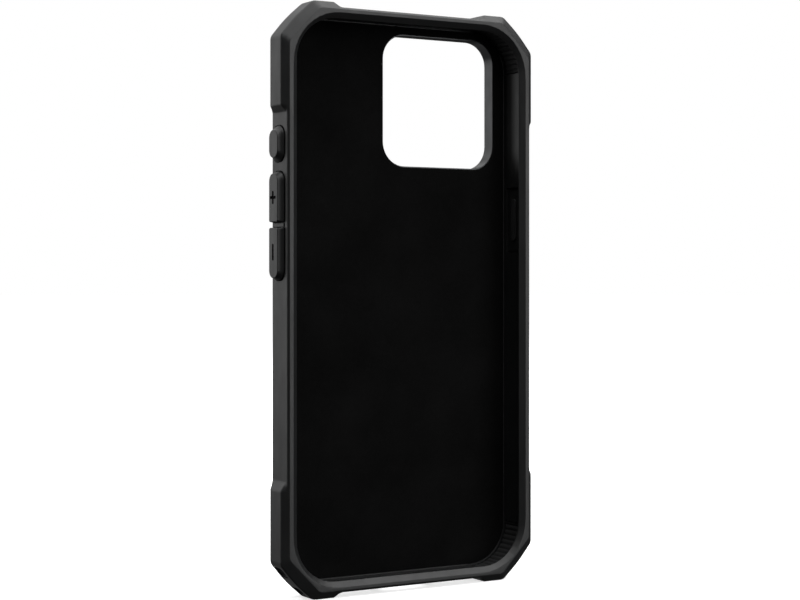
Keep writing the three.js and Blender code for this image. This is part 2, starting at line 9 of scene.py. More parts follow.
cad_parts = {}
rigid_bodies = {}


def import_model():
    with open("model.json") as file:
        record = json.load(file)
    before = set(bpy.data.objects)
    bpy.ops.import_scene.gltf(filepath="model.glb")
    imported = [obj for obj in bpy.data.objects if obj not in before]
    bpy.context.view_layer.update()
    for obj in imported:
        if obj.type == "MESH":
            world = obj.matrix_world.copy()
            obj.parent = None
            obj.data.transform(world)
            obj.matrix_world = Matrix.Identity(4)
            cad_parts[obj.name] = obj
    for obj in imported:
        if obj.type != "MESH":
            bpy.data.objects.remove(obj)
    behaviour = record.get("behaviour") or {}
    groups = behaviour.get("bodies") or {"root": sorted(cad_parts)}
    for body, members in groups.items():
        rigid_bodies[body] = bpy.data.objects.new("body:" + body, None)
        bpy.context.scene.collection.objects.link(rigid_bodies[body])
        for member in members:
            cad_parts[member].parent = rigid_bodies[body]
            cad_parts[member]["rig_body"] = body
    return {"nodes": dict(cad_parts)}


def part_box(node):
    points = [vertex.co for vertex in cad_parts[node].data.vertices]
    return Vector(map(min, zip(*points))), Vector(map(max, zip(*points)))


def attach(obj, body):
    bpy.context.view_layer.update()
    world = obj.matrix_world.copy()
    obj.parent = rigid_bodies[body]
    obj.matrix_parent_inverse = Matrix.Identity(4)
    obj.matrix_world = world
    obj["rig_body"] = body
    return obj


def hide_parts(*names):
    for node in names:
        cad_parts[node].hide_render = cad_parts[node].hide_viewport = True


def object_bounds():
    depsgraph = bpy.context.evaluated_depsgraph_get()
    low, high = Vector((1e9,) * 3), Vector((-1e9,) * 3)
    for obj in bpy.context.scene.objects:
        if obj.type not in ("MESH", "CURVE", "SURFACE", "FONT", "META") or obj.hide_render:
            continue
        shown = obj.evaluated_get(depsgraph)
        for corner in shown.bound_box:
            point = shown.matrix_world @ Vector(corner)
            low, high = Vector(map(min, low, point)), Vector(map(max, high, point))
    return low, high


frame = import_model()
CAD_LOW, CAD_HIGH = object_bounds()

# ------------------------------------------------------------------ sizes and places
#
# Lengths are millimetres. A place is (x, depth, z): x to the right of the middle,
# depth back from the front face of the lip, and z up from mid-height.

MM = 0.001
FRAME_LOW, FRAME_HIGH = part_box("bumper_frame")
MIDDLE_Z = (CAD_LOW.z + CAD_HIGH.z) / 2

HALF_WIDTH = (FRAME_HIGH.x - FRAME_LOW.x) / 2 / MM       # over the bumpers
HALF_HEIGHT = (FRAME_HIGH.z - FRAME_LOW.z) / 2 / MM
FRAME_BACK = (FRAME_HIGH.y - FRAME_LOW.y) / MM
CASE_DEPTH = (CAD_HIGH.y - CAD_LOW.y) / MM
KEY_FACE = (CAD_HIGH.x - CAD_LOW.x) / 2 / MM             # half width over the keys
GAP = 0.3                                                # round pieces that are let in

# Depths where the outer form turns: the slopes round the front face of the lip end at
# the first two, and the side and end walls start to lean in at the other three.
SIDE_SLOPE_END = 0.59
BUMPER_SLOPE_END = 1.62
BUMPER_LEAN = 7.8
SIDE_LEAN = 9.05
END_LEAN = 10.2

# Outer form as (depth, half size) pairs: plain sides set back from corner bumpers.
SIDE_X = HALF_WIDTH - 1.33
SIDE_Z = HALF_HEIGHT - 1.42
LAND_X = HALF_WIDTH - 1.81
LAND_Z = HALF_HEIGHT - 2.0
SIDE_HALF_WIDTH = [
    (0, LAND_X), (SIDE_SLOPE_END, SIDE_X), (SIDE_LEAN, SIDE_X), (FRAME_BACK, SIDE_X - 2.44),
]
SIDE_HALF_HEIGHT = [
    (0, LAND_Z), (SIDE_SLOPE_END, SIDE_Z), (END_LEAN, SIDE_Z), (FRAME_BACK, SIDE_Z - 1.38),
]
BUMPER_HALF_WIDTH = [
    (0, LAND_X), (BUMPER_SLOPE_END, HALF_WIDTH), (BUMPER_LEAN, HALF_WIDTH),
    (FRAME_BACK, HALF_WIDTH - 3.47),
]
BUMPER_HALF_HEIGHT = [
    (0, LAND_Z), (BUMPER_SLOPE_END, HALF_HEIGHT), (END_LEAN, HALF_HEIGHT),
    (FRAME_BACK, HALF_HEIGHT - 2.1),
]

# Corner cut: its height on the side, its half width on the end, and how far the corner
# that crowns it stands out half way along, before that corner is rounded.
CORNER_CUT_HEIGHT = [
    (0, 67.0), (BUMPER_SLOPE_END, 68.7), (END_LEAN, 68.7), (FRAME_BACK, 66.6),
]
CORNER_CUT_WIDTH = [
    (0, 28.6), (BUMPER_SLOPE_END, 29.95), (BUMPER_LEAN, 29.95), (FRAME_BACK, 26.48),
]
CORNER_CUT_RADIUS = 2.2
CORNER_CROWN = [(0, 0.05), (BUMPER_SLOPE_END, 0.55), (END_LEAN, 0.55), (FRAME_BACK, 0.3)]
CORNER_CROWN_RADIUS = 40.0

# Where the bumpers ramp down to the plain sides, as (foot, top).
RAMP_RADIUS = 0.9
RAMP_SIDE = (47.2, 49.3)
RAMP_SIDE_BY_KEYS = (48.9, 50.5)
RAMP_END = (21.5, 23.6)

# Lip, bay and liner as (half width, half height, corner radius).
LIP_TOP = (36.44, 75.43, 14.0)
LIP_FOOT = (34.9, 73.95, 11.6)
LIP_FOOT_DEPTH = 1.22
LIP_BACK_DEPTH = 1.45
BAY = (35.85, 74.9, 11.5)
BAY_FLOOR = 10.05
LINER = (35.4, 74.45, 11.1)
LINER_FACE = 9.65

# Cushions in the bay's corners.
CUSHION_THICKNESS = 0.7
CUSHION_DEPTHS = (2.6, 9.2)
CUSHION_RIBS = 13
RIB_STEPS = 10
RIB_HEIGHT = 0.24
CUSHION_TURN = (0.3, 89.7)         # degrees that a cushion spans in its corner
CUSHION_PLAY = 0.01                # how far a cushion stays inside its CAD solid
CUSHION_EASES = [0.16, 0.08, 0.08, 0.16]
POCKET_RADIUS_LESS = 0.05          # than a corner concentric with the cushion's

# Back shell and panel as (half width, half height, 45-degree cut).
SHELL_WIDE = (33.5, 72.0, 9.0)
SHELL_NARROW = (31.5, 70.0, 8.2)
SHELL_STEP = 11.0
SHELL_OVERLAP = 0.3                # of the shell's two steps, so that they join
CUT_ROUNDING = 1.5
PANEL = (27.6, 66.0, 7.0)
PANEL_FRONT = 11.7
PANEL_CAMERA_MARGIN = 3.4

# Magnet ring as (inner, outer) radii about its own height, and the alignment magnet.
RING_HEIGHT = -2.0
RING_MARK = (24.0, 25.4)
RING_MARK_FRONT = 11.9
CARRIER = (22.2, 27.8)
SHUNT_BACK = 11.2
MAGNET_BACK = 10.8
ALIGNMENT_HALF_WIDTH = 2.8
ALIGNMENT_SPAN = (-50.0, -35.6)
ALIGNMENT_RADIUS = 1.1             # of its pocket

# Camera window and bezel as (half size, corner radius) about the camera's place.
BEZEL_LOW, BEZEL_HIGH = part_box("camera_bezel")
CAMERA_X = (BEZEL_LOW.x + BEZEL_HIGH.x) / 2 / MM
CAMERA_Z = ((BEZEL_LOW.z + BEZEL_HIGH.z) / 2 - MIDDLE_Z) / MM
WINDOW = (17.9, 6.6)
BEZEL = (19.9, 8.4)
BEZEL_FLANGE = (20.6, 9.0)
BEZEL_FLANGE_BACK = 10.85
BEZEL_CHAMFER = 0.8
BEZEL_BEVEL = 0.05
WINDOW_FLARE = 0.3

# Keys: levels are half widths of the case.
KEY_SKIRT = 37.75
KEY_CAP_DEPTHS = (2.65, 8.5)
KEY_FACE_DEPTHS = (3.25, 8.1)
KEY_FLANGE_DEPTHS = (2.6, 8.4)
KEY_FLANGE_INSET = 0.9
KEY_FLANGE_RADIUS = 0.5
KEY_FLANGE_LEVELS = (36.3, 36.75)
KEY_STEM_DEPTHS = (3.7, 7.3)
KEY_STEM_INSET = 2.0
KEY_STEM_RADIUS = 0.3
KEY_STEM_LEVELS = (KEY_FLANGE_LEVELS[0] + 0.1, KEY_SKIRT + 0.2)
PAD_LEVELS = (35.9, 36.3)
PAD_DEPTHS = (4.3, 6.7)
PAD_RADIUS = 1.0
WEB_LEVEL = 36.8
WAY_RADIUS = 0.25                  # of the ways through the wall behind the keys
MOAT_LEVEL = 37.3
STEM_WAY_LEVEL = MOAT_LEVEL + 0.3  # where a stem's way through the wall opens in its moat
MOAT_GAP = 0.12
MOAT_DEPTHS = (1.75, 8.7)
MOAT_FLARE = 0.06
BRIDGE_GROOVE_STEP = 0.02          # how far the bridge's groove stays behind the moats' front
ROUND_SKIRT = 2.6                  # end radii of a key at its foot and its face
ROUND_FACE = 2.1
SQUARE = 0.5                       # end radius where two keys meet
SKIRT_EDGE = 0.08                  # how far below the wall's face the skirt ends
FLANK_HOLLOW = 0.95                # how far a key's flanks sag below a straight slope
FLANK_STEPS = 9
FLANK_START = 0.1                  # height of the lowest flank section, in steps
# The edge of a key's face as (below the face, in from its outline).
FACE_EDGE = [(0.2, 0), (0.12, 0.02), (0.055, 0.065), (0.015, 0.13), (0, 0.2)]
GLYPH_DEPTH = 0.22
GLYPH_ROUNDING = 0.3               # radius of a bar's ends, as a share of its width
GLYPH_FLARE = 0.05
# The engraved signs are filled with near-black painted shade; these set where it stops.
GLYPH_RIM = 0.04                   # left unpainted at the top of a glyph's walls
GLYPH_REACH = 0.01                 # how far the paint may go past a bar and its floor
# Each key's face is set in from its skirt by (low, high); glyph bars are
# (z, depth, length along the key, width across it).
KEYS = [
    {"name": "action", "side": -1, "set_in": (1.16, 1.1), "square": (), "glyph": []},
    {"name": "volume_up", "side": -1, "set_in": (0.18, 0.57), "square": ("low",),
     "glyph": [(26.7, 5.8, 3.4, 0.85), (26.7, 5.8, 0.75, 3.2)]},
    {"name": "volume_down", "side": -1, "set_in": (0.65, 0.13), "square": ("high",),
     "glyph": [(12.45, 5.8, 4.3, 0.85)]},
    {"name": "side", "side": 1, "set_in": (0.9, 0.9), "square": (), "glyph": []},
]

# Openings in the bottom wall and the lower left corner.
PORT_HALF_WIDTH = 6.75
PORT_DEPTHS = (2.6, 8.4)
PORT_RADIUS = 2.85
PORT_FLARE = 0.4
GRILLE_FIRST = 10.8
GRILLE_PITCH = 2.3
GRILLE_COUNT = 5
GRILLE_WIDTH = 1.2
GRILLE_RADIUS = GRILLE_WIDTH / 2 - 0.05
GRILLE_FLARE = 0.18
GRILLE_DEPTHS = (3.8, 7.2)
CORD_SLOTS_ALONG = (-3.8, 3.8)
CORD_SLOT_WIDTH = 3.4
CORD_SLOT_DEPTHS = (3.2, 6.8)
CORD_SLOT_RADIUS = 0.8
CORD_SLOT_FLARE = 0.2
CORD_SLOT_REACH = (-6, 6)          # outwards and inwards from the corner face
CORNER_FACE = (-34.66, -73.5)

# Fineness of the meshes.
ARC_STEPS = 10
RIM_STEPS = 3
TURN_STEPS = 64                    # rays round each corner of the frame
WALL_PITCH = {"plain": 5, "ramp": 0.25, "corner": 3}     # between rays along a wall
SHARP_ANGLE = math.radians(40)
FINE_BEVEL = 0.06
MAGNET_BEVEL = 0.08
NEARLY_STRAIGHT = 1e-3             # half the turn, in radians, under which no arc is made
LEAST_RADIUS = 0.02
MOST_EASE = 0.42                   # share of a section's edge that a rounding may take

# How far a cutter goes past what it cuts: out through the frame's wall, and elsewhere.
PAST = 3.0
SHORT_PAST = 1.0
# How a cutter flares at its mouth: (distance before it, widening) as shares of its flare.
FLARE = 0.15
FLARE_CURVE = ((1, 0), (0.45, 0.1), (0.12, 0.4), (0, 1))

# Studio: softboxes as (name, place, size, radiance), in metres and aimed at the case.
SOFTBOXES = [
    ("overhead", (0.1, -0.1, 1.1), (1.9, 1.9), 2.3),
    ("behind_above", (0.0, 1.1, 0.8), (1.2, 0.6), 0.8),
    ("behind_low", (-0.1, 1.0, -0.5), (1.2, 0.6), 0.18),
    ("left_behind", (-0.7, 1.1, 0.36), (0.9, 1.0), 1.15),
    ("right_above", (0.62, -0.2, 1.0), (0.6, 0.6), 1.0),
    ("left", (-1.14, 0.37, 0.2), (0.36, 0.7), 1.0),
    ("front", (-0.03, -1.2, 0.36), (0.66, 0.9), 1.0),
    ("right_front", (0.62, -1.0, 0.3), (0.7, 0.9), 2.6),
]
WORLD_ON_CASE = 0.04               # the world's strength as light and as background
WORLD_SEEN = 1.0
FLOOR_RADIUS = 6                   # metres
FLOOR_GLOW = (0.7, 1.0)            # emission under the case and away from it
FLOOR_GLOW_REACH = (0.25, 0.9)     # metres from the case over which it rises
CAMERA_PLACE = (-0.2491, -0.41715, 0.0857)               # metres
CAMERA_AIM = (0.5192, 0.8547, 0)
CAMERA_LENS = 80.32
CAMERA_SENSOR = 36
CAMERA_SHIFT = (-0.01775, -0.0354)
CAMERA_NEAR = 0.01


def place(x, depth, z):
    """A place in the case as a point of the row frame, in metres."""
    return Vector((x * MM, CAD_LOW.y + depth * MM, MIDDLE_Z + z * MM))


def height_span(node):
    """Lowest and highest z of a CAD node."""
    low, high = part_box(node)
    return (low.z - MIDDLE_Z) / MM, (high.z - MIDDLE_Z) / MM


# ------------------------------------------------------------------ outlines
#
# An outline starts as a list of corners (a, b, radius), anticlockwise.


def value_at(table, position):
    """Value of a (position, value) table between its entries."""
    for (p0, v0), (p1, v1) in zip(table, table[1:]):
        if position <= p1:
            return v0 + (v1 - v0) * (position - p0) / (p1 - p0)
    return table[-1][1]


def trace(corners):
    """Points of a closed outline, with an arc in place of each rounded corner."""
    points = []
    for i, (a, b, radius) in enumerate(corners):
        here = Vector((a, b))
        back = (Vector(corners[i - 1][:2]) - here).normalized()
        ahead = (Vector(corners[(i + 1) % len(corners)][:2]) - here).normalized()
        half = back.angle(ahead) / 2
        if radius <= 0 or math.pi / 2 - half < NEARLY_STRAIGHT:
            points.append(here)
            continue
        centre = here + (back + ahead).normalized() * (radius / math.sin(half))
        start = here + back * (radius / math.tan(half)) - centre
        end = here + ahead * (radius / math.tan(half)) - centre
        sweep = math.copysign(math.pi - 2 * half, start.x * end.y - start.y * end.x)
        for s in range(ARC_STEPS + 1):
            points.append(centre + Matrix.Rotation(sweep * s / ARC_STEPS, 2) @ start)
    return points


def inset(corners, distance):
    """The same outline moved inwards by a distance, or outwards if it is negative."""
    moved = []
    for i, (a, b, radius) in enumerate(corners):
        here = Vector((a, b))
        arriving = (here - Vector(corners[i - 1][:2])).normalized()
        leaving = (Vector(corners[(i + 1) % len(corners)][:2]) - here).normalized()
        inward = [Vector((-way.y, way.x)) for way in (arriving, leaving)]
        point = here + (inward[0] + inward[1]) / (1 + inward[0].dot(inward[1])) * distance
        moved.append((point.x, point.y, max(radius - distance, LEAST_RADIUS) if radius else 0))
    return moved


def rectangle(a_span, b_span, radius=0.0):
    """Outline of a rectangle from its extent along a and along b."""
    (a0, a1), (b0, b1) = a_span, b_span
    return [(a0, b0, radius), (a1, b0, radius), (a1, b1, radius), (a0, b1, radius)]


def rounded_rect(size, grow=0.0):
    """Rounded rectangle about the middle of the case."""
    w, h, radius = (part + grow for part in size)
    return rectangle((-w, w), (-h, h), radius)


QUARTERS = ((1, 1), (-1, 1), (-1, -1), (1, -1))       # signs of x and z, anticlockwise


def four_quarters(quarter):
    """Corners of all four quarters; quarter(sx, sz) lists one from its side to its end."""
    corners = []
    for sx, sz in QUARTERS:
        listed = quarter(sx, sz)
        corners += listed if sx * sz > 0 else listed[::-1]
    return corners


def cut_rect(size, grow=0.0):
    """Rectangle about the middle of the case with slightly rounded 45-degree corner cuts."""
    w, h, cut = size[0] + grow, size[1] + grow, size[2]
    return four_quarters(lambda sx, sz: [
        (sx * w, sz * (h - cut), CUT_ROUNDING),
        (sx * (w - cut), sz * h, CUT_ROUNDING),
    ])


def camera_square(size, grow=0.0):
    """Rounded square about the camera's place."""
    half, radius = size[0] + grow, size[1] + grow
    return rectangle((CAMERA_X - half, CAMERA_X + half), (CAMERA_Z - half, CAMERA_Z + half), radius)


def frame_outline(depth):
    """Outer corners of the frame at one depth."""
    side_x, side_z = value_at(SIDE_HALF_WIDTH, depth), value_at(SIDE_HALF_HEIGHT, depth)
    bumper_x, bumper_z = value_at(BUMPER_HALF_WIDTH, depth), value_at(BUMPER_HALF_HEIGHT, depth)
    cut_x, cut_z = value_at(CORNER_CUT_WIDTH, depth), value_at(CORNER_CUT_HEIGHT, depth)
    crown = value_at(CORNER_CROWN, depth) * math.sqrt(0.5)
    crown_x, crown_z = (bumper_x + cut_x) / 2 + crown, (bumper_z + cut_z) / 2 + crown

    def quarter(sx, sz):
        ramp = RAMP_SIDE_BY_KEYS if sx < 0 < sz else RAMP_SIDE
        return [
            (sx * side_x, sz * ramp[0], RAMP_RADIUS),
            (sx * bumper_x, sz * ramp[1], RAMP_RADIUS),
            (sx * bumper_x, sz * cut_z, CORNER_CUT_RADIUS),
            (sx * crown_x, sz * crown_z, CORNER_CROWN_RADIUS),
            (sx * cut_x, sz * bumper_z, CORNER_CUT_RADIUS),
            (sx * RAMP_END[1], sz * bumper_z, RAMP_RADIUS),
            (sx * RAMP_END[0], sz * side_z, RAMP_RADIUS),
        ]

    return four_quarters(quarter)


def end_radii(key, radius):
    """Corner radii at the low and high end of a key."""
    return [SQUARE if end in key["square"] else radius for end in ("low", "high")]


def key_outline(depths, heights, radii):
    """Outline of a key in depth and z, rounded apart at its low and high end."""
    (d0, d1), (z0, z1), (low, high) = depths, heights, radii
    return [(d0, z0, low), (d1, z0, low), (d1, z1, high), (d0, z1, high)]


def widened(span, grow):
    """A (low, high) pair moved apart at both ends."""
    return span[0] - grow, span[1] + grow


def blend(first, second, share):
    """Pair of numbers part way from one pair to another."""
    return tuple(a + (b - a) * share for a, b in zip(first, second))


# ------------------------------------------------------------------ meshes

AXES = {
    "depth": lambda p, level: place(p.x, level, p.y),
    "x": lambda p, level: place(level, p.x, p.y),
    "z": lambda p, level: place(p.x, p.y, level),
}


def new_object(name, vertices, faces):
    """Mesh object with its faces turned outward."""
    mesh = bpy.data.meshes.new(name)
    mesh.from_pydata([tuple(v) for v in vertices], [], faces)
    body = bmesh.new()
    body.from_mesh(mesh)
    bmesh.ops.recalc_face_normals(body, faces=body.faces)
    body.to_mesh(mesh)
    body.free()
    obj = bpy.data.objects.new(name, mesh)
    bpy.context.scene.collection.objects.link(obj)
    return obj


def skin(name, rows, closed=False):
    """Surface over rows of points; open rows get a cap at each end."""
    count = len(rows[0])
    faces = []
    for r in range(len(rows) if closed else len(rows) - 1):
        near, far = r * count, (r + 1) % len(rows) * count
        for i in range(count):
            j = (i + 1) % count
            faces.append((near + i, near + j, far + j, far + i))
    if not closed:
        total = len(rows) * count
        faces += [tuple(range(count)), tuple(range(total - count, total))]
    return new_object(name, [v for row in rows for v in row], faces)


def loft(name, sections, axis="depth"):
    """Capped body through (level, corners) sections along depth, x or z."""
    put = AXES[axis]
    return skin(name, [[put(p, level) for p in trace(corners)] for level, corners in sections])


def soft_rims(low, high, ease_low, ease_high):
    """(level, inset) pairs up a straight wall whose two rims are rounded."""
    turns = [math.pi / 2 * s / RIM_STEPS for s in range(RIM_STEPS + 1)]
    up = [(low + ease_low * (1 - math.cos(t)), ease_low * (1 - math.sin(t))) for t in turns]
    down = [(high - ease_high * (1 - math.cos(t)), ease_high * (1 - math.sin(t))) for t in turns]
    return up + down[::-1]


def soft_prism(name, corners, span, eases, axis="depth"):
    """Prism with rounded rims; eases are the roundings at its two ends."""
    levels = soft_rims(*span, *eases)
    return loft(name, [(level, inset(corners, by)) for level, by in levels], axis)


def cutter(corners, span, mouths=(), flare=FLARE, axis="depth"):
    """Prism to cut with, flared at the levels in mouths, each (level, outward sign)."""
    sections = [(span[0], 0), (span[1], 0)]
    for level, outward in mouths:
        sections = [(at, flare if (at - level) * outward > 0 else by) for at, by in sections]
        for back, by in FLARE_CURVE:
            sections.append((level - outward * flare * back, flare * by))
    sections.sort()
    return loft("cutter", [(at, inset(corners, -by)) for at, by in sections], axis)


def combine(obj, others, operation="DIFFERENCE"):
    """Cut or join other objects into this one, and remove them."""
    for other in others:
        modifier = obj.modifiers.new("combine", "BOOLEAN")
        modifier.operation = operation
        modifier.solver = "MANIFOLD"
        modifier.object = other
    graph = bpy.context.evaluated_depsgraph_get()
    mesh = bpy.data.meshes.new_from_object(obj.evaluated_get(graph))
    obj.modifiers.clear()
    obj.data = mesh
    for other in others:
        bpy.data.objects.remove(other, do_unlink=True)
    return obj


def soften(obj, width):
    """Fine bevel along the hard edges that cutting left."""
    bevel = obj.modifiers.new("bevel", "BEVEL")
    bevel.width = width * MM
    bevel.segments = 2
    bevel.limit_method = "ANGLE"
    bevel.angle_limit = SHARP_ANGLE
    bevel.use_clamp_overlap = True
    return obj


def smooth(obj):
    """Smooth shading that keeps real edges and flat faces crisp."""
    obj.data.shade_smooth()
    obj.data.set_sharp_from_angle(angle=SHARP_ANGLE)
    weighted = obj.modifiers.new("weighted", "WEIGHTED_NORMAL")
    weighted.keep_sharp = True
    return obj


def dress(obj, node, slot):
    """Give a finished piece its looks, its slot and the CAD node that it stands for."""
    obj.data.materials.clear()
    obj.data.materials.append(MATERIALS[slot])
    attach(obj, frame["nodes"][node]["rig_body"])
    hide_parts(node)


# ------------------------------------------------------------------ materials


class Shader:
    """A Principled material and short ways to wire its inputs."""

    def __init__(self, name):
        self.material = bpy.data.materials.new(name)
        self.material.use_nodes = True
        self.tree = self.material.node_tree
        self.shader = self.tree.nodes["Principled BSDF"]
        self.place = self.tree.nodes.new("ShaderNodeTexCoord").outputs["Object"]

    def put(self, node, key, value):
        if isinstance(value, bpy.types.NodeSocket):
            self.tree.links.new(value, node.inputs[key])
        else:
            node.inputs[key].default_value = value

    def add(self, kind, inputs):
        node = self.tree.nodes.new(kind)
        for key, value in inputs.items():
            self.put(node, key, value)
        return node

    def fix(self, **values):
        """Set constant inputs of the shader; underscores stand for spaces."""
        for key, value in values.items():
            self.shader.inputs[key.replace("_", " ")].default_value = value

    def stretched(self, scale):
        mapping = self.add("ShaderNodeMapping", {"Vector": self.place, "Scale": scale})
        return mapping.outputs["Vector"]

    def noise(self, scale, detail=2.0, roughness=0.5, stretch=(1, 1, 1)):
        """Noise with about this many features per metre."""
        inputs = {"Scale": scale, "Detail": detail, "Roughness": roughness}
        inputs["Vector"] = self.stretched(stretch)
        return self.add("ShaderNodeTexNoise", inputs).outputs[0]

    def waves(self, scale, stretch=(1, 1, 1)):
        """Even diagonal ribs."""
        node = self.add("ShaderNodeTexWave", {"Vector": self.stretched(stretch), "Scale": scale})
        node.bands_direction = "DIAGONAL"
        return node.outputs["Fac"]

    def spread(self, value, low, high, start=0.3, end=0.7):
        inputs = {"Value": value, "From Min": start, "From Max": end, "To Min": low, "To Max": high}
        return self.add("ShaderNodeMapRange", inputs).outputs["Result"]

    def shades(self, factor, *stops):
        """Colour ramp through (position, colour) stops."""
        ramp = self.add("ShaderNodeValToRGB", {"Fac": factor})
        elements = ramp.color_ramp.elements
        while len(elements) < len(stops):
            elements.new(0.5)
        for element, (position, colour) in zip(elements, stops):
            element.position = position
            element.color = (*colour, 1)
        return ramp.outputs["Color"]

    def times(self, a, b):
        node = self.tree.nodes.new("ShaderNodeMath")
        node.operation = "MULTIPLY"
        self.put(node, 0, a)
        self.put(node, 1, b)
        return node.outputs[0]

    def colour(self, value):
        self.put(self.shader, "Base Color", value)

    def roughness(self, value):
        self.put(self.shader, "Roughness", value)

    def relief(self, *layers):
        """Bump made of (height, depth in mm, strength) layers."""
        normal = None
        for height, depth, strength in layers:
            inputs = {"Height": height, "Distance": depth * MM, "Strength": strength}
            if normal is not None:
                inputs["Normal"] = normal
            normal = self.add("ShaderNodeBump", inputs).outputs["Normal"]
        self.put(self.shader, "Normal", normal)


def grey(value, warmth=0.0):
    """A near-neutral colour; warmth above 0 leans to red and below 0 to blue."""
    return value * (1 + warmth), value, value * (1 - warmth)


def mottled(shader, factor, level, contrast, warmth=0.0):
    """Grey that wanders by a share of its level either way, following factor."""
    low, high = grey(level * (1 - contrast), warmth), grey(level * (1 + contrast), warmth)
    return shader.shades(factor, (0.3, low), (0.7, high))


def soft_plastic(name, level, roughness):
    """Matte moulded elastomer: spark-eroded grain, faint mottling and handling marks."""
    s = Shader(name)
    s.colour(mottled(s, s.noise(70, 3), level, 0.14, -0.03))
    wear = s.noise(240, 4, 0.6, stretch=(1, 1, 0.35))
    s.roughness(s.spread(wear, roughness - 0.04, roughness + 0.05))
    s.relief((s.noise(5200, 2, 0.6), 0.018, 0.5), (s.noise(1900, 1), 0.02, 0.25))
    return s.material


def painted_recess_shade(name):
    """Painted shade for an engraved recess: a matt near-black with a slightly uneven surface."""
    s = Shader(name)
    s.colour(mottled(s, s.noise(400), 0.0016, 0.3))
    s.roughness(s.spread(s.noise(600, 3), 0.8, 0.95))
    s.fix(Specular_IOR_Level=0.06)
    s.relief((s.noise(3600, 2), 0.012, 0.5))
    return s.material


def microfibre(name):
    """Short brushed pile: soft clouding, fine fibres and a faint sheen."""
    s = Shader(name)
    s.colour(mottled(s, s.noise(45, 4, 0.6), 0.004, 0.3))
    s.roughness(s.spread(s.noise(900, 3), 0.9, 1.0))
    s.fix(Specular_IOR_Level=0.04, Sheen_Weight=0.01, Sheen_Roughness=0.4)
    fibres = s.noise(3400, 3, 0.7, stretch=(1, 1, 0.28))
    s.relief((fibres, 0.06, 0.8), (s.noise(900, 3, 0.6), 0.08, 0.5))
    return s.material


def hard_plastic(name, level, roughness):
    """Moulded polycarbonate with a fine even grain."""
    s = Shader(name)
    s.colour(mottled(s, s.noise(55), level, 0.1))
    s.roughness(s.spread(s.noise(300, 3), roughness - 0.04, roughness + 0.05))
    s.relief((s.noise(6500, 1), 0.014, 0.5), (s.noise(1500, 2), 0.01, 0.3))
    return s.material


def woven_panel(name, level):
    """Twill-textured plastic: two crossed sets of fine diagonal ribs over a grain."""
    s = Shader(name)
    weave = s.times(s.waves(260), s.waves(260, stretch=(-1, 1, 1)))
    shade = s.times(weave, s.spread(s.noise(60, 3), 0.8, 1.2))
    s.colour(s.shades(shade, (0.0, grey(level * 0.7)), (0.8, grey(level * 1.3))))
    s.roughness(s.spread(weave, 0.62, 0.46, start=0, end=1))
    s.relief((s.noise(5200), 0.02, 0.4), (weave, 0.09, 0.8))
    return s.material


def blasted_metal(name, level, roughness):
    """Bead-blasted, dark anodised metal."""
    s = Shader(name)
    s.fix(Metallic=1.0)
    s.colour(mottled(s, s.noise(90, 3), level, 0.1, -0.02))
    s.roughness(s.spread(s.noise(400, 3), roughness - 0.04, roughness + 0.06))
    s.relief((s.noise(4200, 3, 0.65), 0.012, 0.6))
    return s.material


def brushed_metal(name, colour, roughness, stretch):
    """Plated or rolled metal with a drawn grain."""
    s = Shader(name)
    s.fix(Metallic=1.0)
    lines = s.noise(2600, 3, 0.6, stretch)
    s.colour(s.shades(s.noise(160, 3), (0.3, tuple(c * 0.86 for c in colour)), (0.7, colour)))
    s.roughness(s.spread(lines, roughness - 0.06, roughness + 0.1))
    s.relief((lines, 0.008, 0.5))
    return s.material


MATERIALS = {
    "frame_tpu": soft_plastic("frame_tpu", 0.011, 0.44),
    "key_tpu": soft_plastic("key_tpu", 0.012, 0.42),
    # near-black painted shade in the keys' engraved signs
    "glyph_painted_shade": painted_recess_shade("glyph_painted_shade"),
    "cushion_rubber": soft_plastic("cushion_rubber", 0.012, 0.7),
    "liner_microfibre": microfibre("liner_microfibre"),
    "shell_polycarbonate": hard_plastic("shell_polycarbonate", 0.016, 0.42),
    "panel_textured": woven_panel("panel_textured", 0.02),
    "ring_mark": hard_plastic("ring_mark", 0.045, 0.36),
    "bezel_anodised": blasted_metal("bezel_anodised", 0.06, 0.36),
    "carrier_plastic": hard_plastic("carrier_plastic", 0.03, 0.5),
    "magnet_nickel": brushed_metal("magnet_nickel", (0.62, 0.6, 0.56), 0.28, (1, 1, 0.1)),
    "shunt_steel": brushed_metal("shunt_steel", (0.36, 0.37, 0.38), 0.36, (0.1, 1, 1)),
}


# ------------------------------------------------------------------ bumper frame


def steps_between(start, end, pitch):
    """Positions after start, up to and with end, about a pitch apart."""
    count = max(1, round((end - start) / pitch))
    return [start + (end - start) * s / count for s in range(1, count + 1)]


def wall_positions(end, ramp):
    """Positions along a straight wall, close together over the ramps."""
    ramp_low, ramp_high = ramp[0] - RAMP_RADIUS, min(ramp[1] + RAMP_RADIUS, end)
    half = steps_between(0, ramp_low, WALL_PITCH["plain"])
    half += steps_between(ramp_low, ramp_high, WALL_PITCH["ramp"])
    if ramp_high < end:
        half += steps_between(ramp_high, end, WALL_PITCH["corner"])
    return [-p for p in reversed(half)] + [0.0] + half


def frame_rays():
    """Rays out of the bay's core, all the way round, as (origin, direction)."""
    core_x, core_z = BAY[0] - BAY[2], BAY[1] - BAY[2]
    upright = wall_positions(core_z, (RAMP_SIDE[0], RAMP_SIDE_BY_KEYS[1]))
    level = wall_positions(core_x, RAMP_END)
    rays = []
    for quarter in range(4):
        out = Vector(((1, 0), (0, 1), (-1, 0), (0, -1))[quarter])
        along = Vector((-out.y, out.x))
        run, reach, end = (upright, core_x, core_z) if quarter % 2 == 0 else (level, core_z, core_x)
        rays += [(out * reach + along * p, out) for p in run]
        for s in range(1, TURN_STEPS):
            turn = Matrix.Rotation(math.pi / 2 * s / TURN_STEPS, 2)
            rays.append((out * reach + along * end, turn @ out))
    return rays


